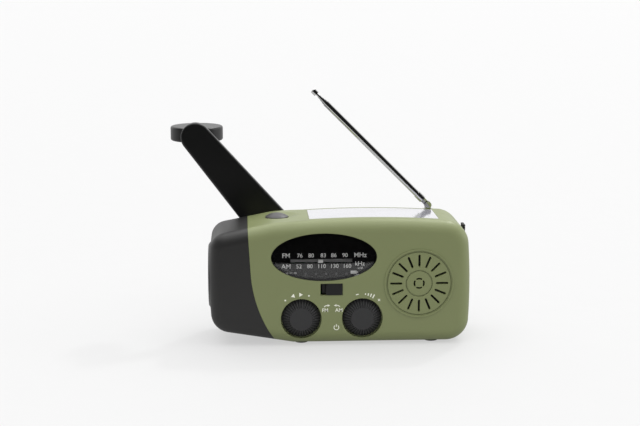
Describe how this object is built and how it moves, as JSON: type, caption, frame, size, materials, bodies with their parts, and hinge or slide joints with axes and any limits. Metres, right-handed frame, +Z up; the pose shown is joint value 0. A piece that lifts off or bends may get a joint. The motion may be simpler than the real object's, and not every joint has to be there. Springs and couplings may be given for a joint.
{
  "type": "emergency radio",
  "caption": "Hand-crank emergency radio with tuning dial, speaker, end lamp, solar panel, telescopic aerial and fold-out crank knob.",
  "frame": {"origin": "under the middle of the casing, on the plane that the feet stand on", "axes": "+X to the right along the casing, +Y to the rear, +Z up; the dial and speaker face -Y"},
  "size_m": [0.1463, 0.076, 0.1199],
  "materials": {
    "casing_green": "fine satin texture",
    "head_grey": "fine satin texture",
    "satin_black": "satin",
    "knob_black": "matt",
    "rubber_black": "matt",
    "button_grey": "matt",
    "window_clear": "polished",
    "solar_clear": "polished",
    "solar_blue": "polished",
    "dial_black": "matt",
    "pointer_white": "matt",
    "mirror": "polished",
    "led_white": "clear",
    "chrome": "polished",
    "steel": "plated",
    "gear_nylon": "moulded",
    "component_black": "moulded",
    "board_green": "lacquered",
    "ferrite": "fired",
    "copper": "enamelled",
    "screen_black": "woven",
    "cell_blue": "wrapped"
  },
  "bodies": {
    "casing": {"front_shell": "casing_green", "rear_shell": "casing_green", "lamp_head": "head_grey", "battery_door": "head_grey", "case_screws": "steel", "feet": "rubber_black", "strap_lug": "satin_black", "solar_cell": "solar_blue", "solar_cover": "solar_clear", "light_switch": "component_black", "lamp_bezel": "satin_black", "lamp_lens": "window_clear", "lamp_reflector": "mirror", "lamp_board": "board_green", "lamp_leds": "led_white", "dial_window": "window_clear", "dial_plate": "dial_black", "pointer_guide": "steel", "idler_bracket": "gear_nylon", "tuning_capacitor": "component_black", "volume_control": "component_black", "band_switch": "component_black", "main_board": "board_green", "board_components": "component_black", "ferrite_rod": "ferrite", "ferrite_coil": "copper", "grille_screen": "screen_black", "speaker_frame": "steel", "speaker_cone": "screen_black", "battery_cell": "cell_blue", "battery_holder": "steel", "usb_socket": "steel", "charge_socket": "steel", "gear_axles": "steel", "gear_plate": "steel", "dynamo_can": "steel"},
    "light_button": {"light_button": "button_grey"},
    "tuning": {"tuning_knob": "knob_black", "tuning_shaft": "gear_nylon"},
    "lower_idler": {"idler_lower": "gear_nylon"},
    "upper_idler": {"idler_upper": "gear_nylon"},
    "pointer": {"dial_pointer": "pointer_white"},
    "volume": {"volume_knob": "knob_black", "volume_shaft": "gear_nylon"},
    "band": {"band_slider": "satin_black"},
    "port_cover": {"port_cover": "rubber_black"},
    "crank": {"crank_arm": "satin_black", "crank_gear": "gear_nylon", "crank_screw": "steel"},
    "first_gear": {"first_gear": "gear_nylon"},
    "second_gear": {"second_gear": "gear_nylon"},
    "dynamo": {"dynamo_rotor": "steel"},
    "knob_fork": {"knob_fork": "steel"},
    "crank_knob": {"crank_knob": "satin_black"},
    "aerial_base": {"aerial_swivel": "chrome"},
    "aerial_1": {"aerial_tube_1": "chrome"},
    "aerial_2": {"aerial_tube_2": "chrome"},
    "aerial_3": {"aerial_tube_3": "chrome"},
    "aerial_4": {"aerial_tube_4": "chrome"},
    "aerial_5": {"aerial_tip": "chrome"}
  },
  "joints": [
    {"name": "crank_spin", "type": "hinge", "parent": "casing", "child": "crank", "pos_m": [-0.026, 0.02, 0.043], "axis": [0, 1, 0], "continuous": true},
    {"name": "first_gear_spin", "type": "hinge", "parent": "casing", "child": "first_gear", "pos_m": [-0.01638, 0.015, 0.03149], "axis": [0, 1, 0], "continuous": true},
    {"name": "second_gear_spin", "type": "hinge", "parent": "casing", "child": "second_gear", "pos_m": [-0.02715, 0.012, 0.02386], "axis": [0, 1, 0], "continuous": true},
    {"name": "dynamo_spin", "type": "hinge", "parent": "casing", "child": "dynamo", "pos_m": [-0.03486, 0, 0.01467], "axis": [0, 1, 0], "continuous": true},
    {"name": "knob_spin", "type": "hinge", "parent": "crank", "child": "knob_fork", "pos_m": [-0.06925, 0.0256, 0.09547], "axis": [0, 1, 0], "continuous": true},
    {"name": "knob_fold", "type": "hinge", "parent": "knob_fork", "child": "crank_knob", "pos_m": [-0.06925, 0.0304, 0.09547], "axis": [-1, 0, 0], "range_deg": [0, 90]},
    {"name": "tuning_turn", "type": "hinge", "parent": "casing", "child": "tuning", "pos_m": [-0.0189, -0.02, 0.0134], "axis": [0, 1, 0], "range_deg": [-152, 152]},
    {"name": "lower_idler_turn", "type": "hinge", "parent": "casing", "child": "lower_idler", "pos_m": [-0.0189, -0.0156, 0.0221], "axis": [0, 1, 0], "range_deg": [-163, 163]},
    {"name": "upper_idler_turn", "type": "hinge", "parent": "casing", "child": "upper_idler", "pos_m": [-0.0189, -0.0156, 0.0305], "axis": [0, 1, 0], "range_deg": [-163, 163]},
    {"name": "pointer_slide", "type": "slide", "parent": "casing", "child": "pointer", "axis": [1, 0, 0], "range_m": [-0.012, 0.012]},
    {"name": "volume_turn", "type": "hinge", "parent": "casing", "child": "volume", "pos_m": [0.0103, -0.02, 0.0134], "axis": [0, 1, 0], "range_deg": [-150, 150]},
    {"name": "band_slide", "type": "slide", "parent": "casing", "child": "band", "axis": [-1, 0, 0], "range_m": [0, 0.0024]},
    {"name": "light_press", "type": "slide", "parent": "casing", "child": "light_button", "axis": [0, 0, -1], "range_m": [0, 0.0012], "stiffness_N_per_m": 300},
    {"name": "port_cover_open", "type": "hinge", "parent": "casing", "child": "port_cover", "pos_m": [0.0632, 0.0106, 0.031], "axis": [0, 1, 0], "range_deg": [0, 110]},
    {"name": "aerial_turn", "type": "hinge", "parent": "casing", "child": "aerial_base", "pos_m": [0.046, 0.017, 0.0616], "axis": [0, 0, -1], "range_deg": [0, 180]},
    {"name": "aerial_tilt", "type": "hinge", "parent": "aerial_base", "child": "aerial_1", "pos_m": [0.046, 0.017, 0.0616], "axis": [0, 1, 0], "range_deg": [-45, 45]},
    {"name": "aerial_pull_1", "type": "slide", "parent": "aerial_1", "child": "aerial_2", "axis": [-0.7071, 0, 0.7071], "range_m": [0, 0.052]},
    {"name": "aerial_pull_2", "type": "slide", "parent": "aerial_2", "child": "aerial_3", "axis": [-0.7071, 0, 0.7071], "range_m": [0, 0.052]},
    {"name": "aerial_pull_3", "type": "slide", "parent": "aerial_3", "child": "aerial_4", "axis": [-0.7071, 0, 0.7071], "range_m": [0, 0.052]},
    {"name": "aerial_pull_4", "type": "slide", "parent": "aerial_4", "child": "aerial_5", "axis": [-0.7071, 0, 0.7071], "range_m": [0, 0.052]}
  ],
  "couplings": [
    {"joint": "first_gear_spin", "follows": "crank_spin", "ratio": -4},
    {"joint": "second_gear_spin", "follows": "crank_spin", "ratio": 13.6},
    {"joint": "dynamo_spin", "follows": "crank_spin", "ratio": -40.8},
    {"joint": "lower_idler_turn", "follows": "tuning_turn", "ratio": -1.0714},
    {"joint": "upper_idler_turn", "follows": "tuning_turn", "ratio": 1.0714},
    {"joint": "pointer_slide", "follows": "tuning_turn", "m_per_rad": 0.0045}
  ]
}
